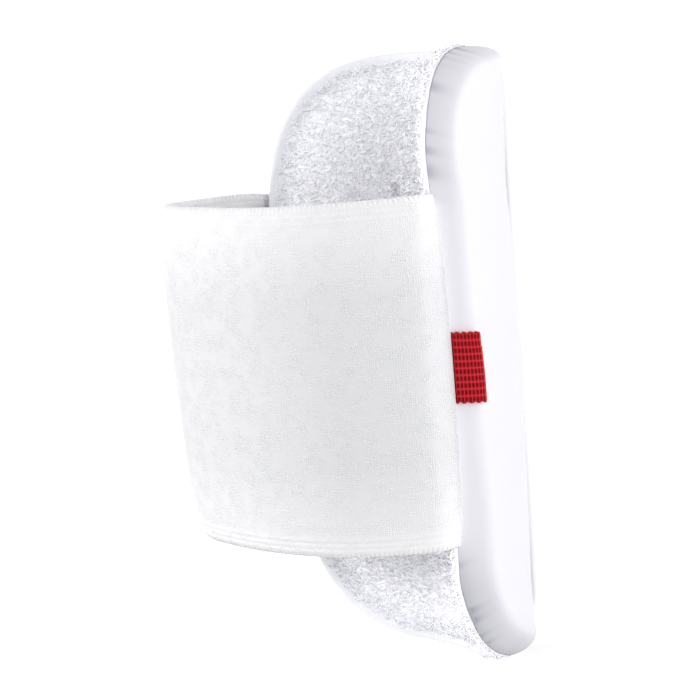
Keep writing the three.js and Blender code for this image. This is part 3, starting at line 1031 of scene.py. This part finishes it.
# Nylon webbing, dyed red: the cords across it get a painted highlight, the gaps between the yarns painted
# shade, and the fold a lighter painted highlight
def webbing():
    material, tree, shader = new_material("Red nylon webbing")
    place = add(tree, "ShaderNodeTexCoord").outputs["UV"]
    parts = add(tree, "ShaderNodeSeparateXYZ", Vector=place)
    between = pulse(tree, parts.outputs["X"], TAB_WIDTH / TAB_RIBS)
    gaps = pulse(tree, parts.outputs["Y"], SLOT_PITCH)
    painted_slot_shade = add(tree, "ShaderNodeMath", {"operation": "MULTIPLY"}, i0=between, i1=gaps)
    # painted highlight on the ribs and painted shade in the slots between them
    colour = ramp(tree, painted_slot_shade.outputs[0], [(0.05, "#c32b35"), (0.35, "#9e161f"), (0.7, "#72050f")])
    from_fold = add(tree, "ShaderNodeMath", {"operation": "SUBTRACT"},
        i0=parts.outputs["Y"], i1=TAB_RUN * MM)
    off_fold = add(tree, "ShaderNodeMath", {"operation": "ABSOLUTE"}, i0=from_fold.outputs[0])
    # painted highlight over the fold
    painted_fold_highlight = add(tree, "ShaderNodeMapRange", i0=off_fold.outputs[0], i1=0.0005, i2=0.0017, i3=0.85, i4=0.0)
    colour = add(tree, "ShaderNodeMix", {"data_type": "RGBA"},
        i0=painted_fold_highlight.outputs[0], i6=colour, i7=linear("#e0483a")).outputs[2]
    yarn = add(tree, "ShaderNodeTexNoise", Vector=place, Scale=2600.0, Detail=2.0, Roughness=0.6)
    finish(tree, shader, colour, yarn.outputs["Fac"], 0.3, 0.0002)
    shader.inputs["Roughness"].default_value = 0.6
    shader.inputs["Specular IOR Level"].default_value = 0.05
    return material


# Nylon hook tape: a close field of stiff hooks with a slight shine
def hooks():
    material, tree, shader = new_material("White nylon hook tape")
    place = add(tree, "ShaderNodeTexCoord").outputs["UV"]
    points = add(tree, "ShaderNodeTexVoronoi", Vector=place, Scale=1000.0)
    colour = ramp(tree, points.outputs["Distance"], [(0.1, "#f6f6f6"), (0.6, "#d8d8da")])
    finish(tree, shader, colour, points.outputs["Distance"], 0.6, 0.0005)
    shader.inputs["Roughness"].default_value = 0.45
    return material


# Opal acrylic of a light table, whose glow each point of the table holds
def opal_acrylic():
    material, tree, shader = new_material("White opal acrylic")
    place = add(tree, "ShaderNodeTexCoord").outputs["Object"]
    grain = add(tree, "ShaderNodeTexNoise", Vector=place, Scale=300.0, Detail=2.0)
    colour = ramp(tree, grain.outputs["Fac"], [(0.3, "#a6a6a6"), (0.7, "#a8a8a8")])
    finish(tree, shader, colour, grain.outputs["Fac"], 0.02, 0.0002)
    glow = add(tree, "ShaderNodeAttribute", {"attribute_name": "glow"})
    shader.inputs["Emission Color"].default_value = linear("#ffffff")
    tree.links.new(glow.outputs["Fac"], shader.inputs["Emission Strength"])
    shader.inputs["Roughness"].default_value = 0.6
    shader.inputs["Specular IOR Level"].default_value = 0.1
    return material


def wear(piece, material, body, slot, *nodes):
    piece.data.materials.clear()
    piece.data.materials.append(material)
    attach(piece, body)
    if nodes:
        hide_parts(*nodes)


# Pieces

cover = padded_cover()
wear(cover, tricot(), "root", "cover", "padded_cover")

backing = towel_backing()
# The backing is coloured greyer than the loops: painted shade in the gaps between them
wear(backing, terry("White cotton terry backing", "#cacad0", "#ededf1"), "root", "lining", "towel_lining")
loop_material = terry("White cotton terry loops", "#eaeaee", "#fdfdff")
loop_pieces = towel_loops()
for loops in loop_pieces:
    wear(loops, loop_material, "root", "lining")

strap = elastic_strap()
wear(strap, elastic(), "root", "strap", "elastic_strap")

tape = hook_tape()
wear(tape, hooks(), "root", "patch", "fastening_patch")

tab = webbing_tab()
wear(tab, webbing(), "root", "tab", "webbing_tab")

# Floor: an opal light table, dimmed away from the guard; its glow is cut under the guard and in a thin
# border round it, as painted contact shadow

TABLE_CELLS = 240
TABLE_REACH = 3000
TABLE_TOP = -0.2
FULL_GLOW = 0.78
FAR_GLOW = 0.3
# The glow cut under the guard and in its border is painted contact shadow
MASK_GLOW = 0.25
MASK_MIDDLE = 9
MASK_HALF_LENGTH = 107
MASK_HALF_WIDTH = (16.5, 20.5)  # at the wrist and at the elbow
MASK_BORDER = 6
LIT_HALF_LENGTH = 260  # and wider towards the back, as the camera's view is
LIT_FRONT = -220
LIT_BACK = 1200
DIMMING = 600


def table_glow(x, y):
    past_end = max(0, abs(x - MASK_MIDDLE) - MASK_HALF_LENGTH)
    past_side = max(0, abs(y) - along_arm(x, *MASK_HALF_WIDTH))
    # painted contact shadow: less glow under the guard and in a thin border round it
    under = lerp(MASK_GLOW, 1, smoothstep(math.hypot(past_end, past_side), 0, MASK_BORDER))
    away = math.hypot(max(0, abs(x) - LIT_HALF_LENGTH - max(0, y)), max(0, LIT_FRONT - y, y - LIT_BACK))
    return under * lerp(FULL_GLOW, FAR_GLOW, smoothstep(away, 0, DIMMING))


def light_table():
    """Cells are fine near the guard and grow with the distance from it."""
    places = [(2 * i / TABLE_CELLS - 1) ** 3 * TABLE_REACH for i in range(TABLE_CELLS + 1)]
    points = [(x * MM, y * MM, TABLE_TOP * MM) for x in places for y in places]
    count = len(places)
    faces = [
        (i * count + j, (i + 1) * count + j, (i + 1) * count + j + 1, i * count + j + 1)
        for i in range(count - 1)
        for j in range(count - 1)
    ]
    table = new_piece("floor", points, faces)
    set_values(table, "glow", [table_glow(x, y) for x in places for y in places])
    return table


floor = light_table()
floor.data.materials.append(opal_acrylic())


# Light: places, targets and sides in metres, power in watts

OVERHEAD_POWER = 20
FRONT_POWER = 9.5
LINING_POWER = 6.6
LINING_BOX_SIDE = 0.25
WORLD_STRENGTH = 0.27


def softbox(name, place, target, size, power):
    light = bpy.data.lights.new(name, "AREA")
    light.shape = "RECTANGLE"
    light.size, light.size_y = size
    light.energy = power
    lamp = bpy.data.objects.new(name, light)
    bpy.context.scene.collection.objects.link(lamp)
    lamp.location = place
    lamp.rotation_euler = (Vector(target) - Vector(place)).to_track_quat("-Z", "Y").to_euler()
    return lamp


softbox("Overhead softbox", (0.15, 0.68, 1.15), (0, 0, 0.05), (1.1, 1.0), OVERHEAD_POWER)
softbox("Low front softbox", (0.2, -1.28, 0.22), (0, 0, 0.04), (1.1, 0.4), FRONT_POWER)

# Two small softboxes fill only the pile in the trough, which the walls and the strap shade
lined = bpy.data.collections.new("Pile in the trough")
for piece in [backing] + loop_pieces:
    lined.objects.link(piece)
for end, along_guard in (("Elbow", 0.42), ("Wrist", -0.48)):
    place = (along_guard, -0.8, 0.7)
    size = (LINING_BOX_SIDE, LINING_BOX_SIDE)
    fill = softbox(end + " lining softbox", place, (0, 0.02, 0.04), size, LINING_POWER)
    fill.light_linking.receiver_collection = lined

world = bpy.data.worlds.new("Studio")
bpy.context.scene.world = world
world.use_nodes = True
background = world.node_tree.nodes["Background"]
background.inputs["Color"].default_value = linear("#fdfdff")
background.inputs["Strength"].default_value = WORLD_STRENGTH

view_settings = bpy.context.scene.view_settings
view_settings.view_transform = "Standard"
view_settings.look = "None"

# Camera


def photograph_camera():
    swing, rise = CAMERA_SWING, CAMERA_ELEVATION
    level = math.cos(swing)
    back = Vector((math.sin(swing), -math.cos(rise) * level, math.sin(rise) * level))
    right = Vector((1, 0, 0)).cross(back).normalized()
    up = back.cross(right)
    rolled_right = right * math.cos(CAMERA_ROLL) + up * math.sin(CAMERA_ROLL)
    rolled_up = up * math.cos(CAMERA_ROLL) - right * math.sin(CAMERA_ROLL)
    eye = (CAMERA_TARGET + back * CAMERA_DISTANCE) * MM
    data = bpy.data.cameras.new("Camera")
    data.lens = CAMERA_LENS
    data.sensor_width = 36
    data.clip_start = 0.02
    camera = bpy.data.objects.new("Camera", data)
    bpy.context.scene.collection.objects.link(camera)
    matrix = camera.matrix_world.copy()
    for row in range(3):
        matrix[row][0] = rolled_right[row]
        matrix[row][1] = rolled_up[row]
        matrix[row][2] = back[row]
        matrix[row][3] = eye[row]
    camera.matrix_world = matrix
    bpy.context.scene.camera = camera


photograph_camera()
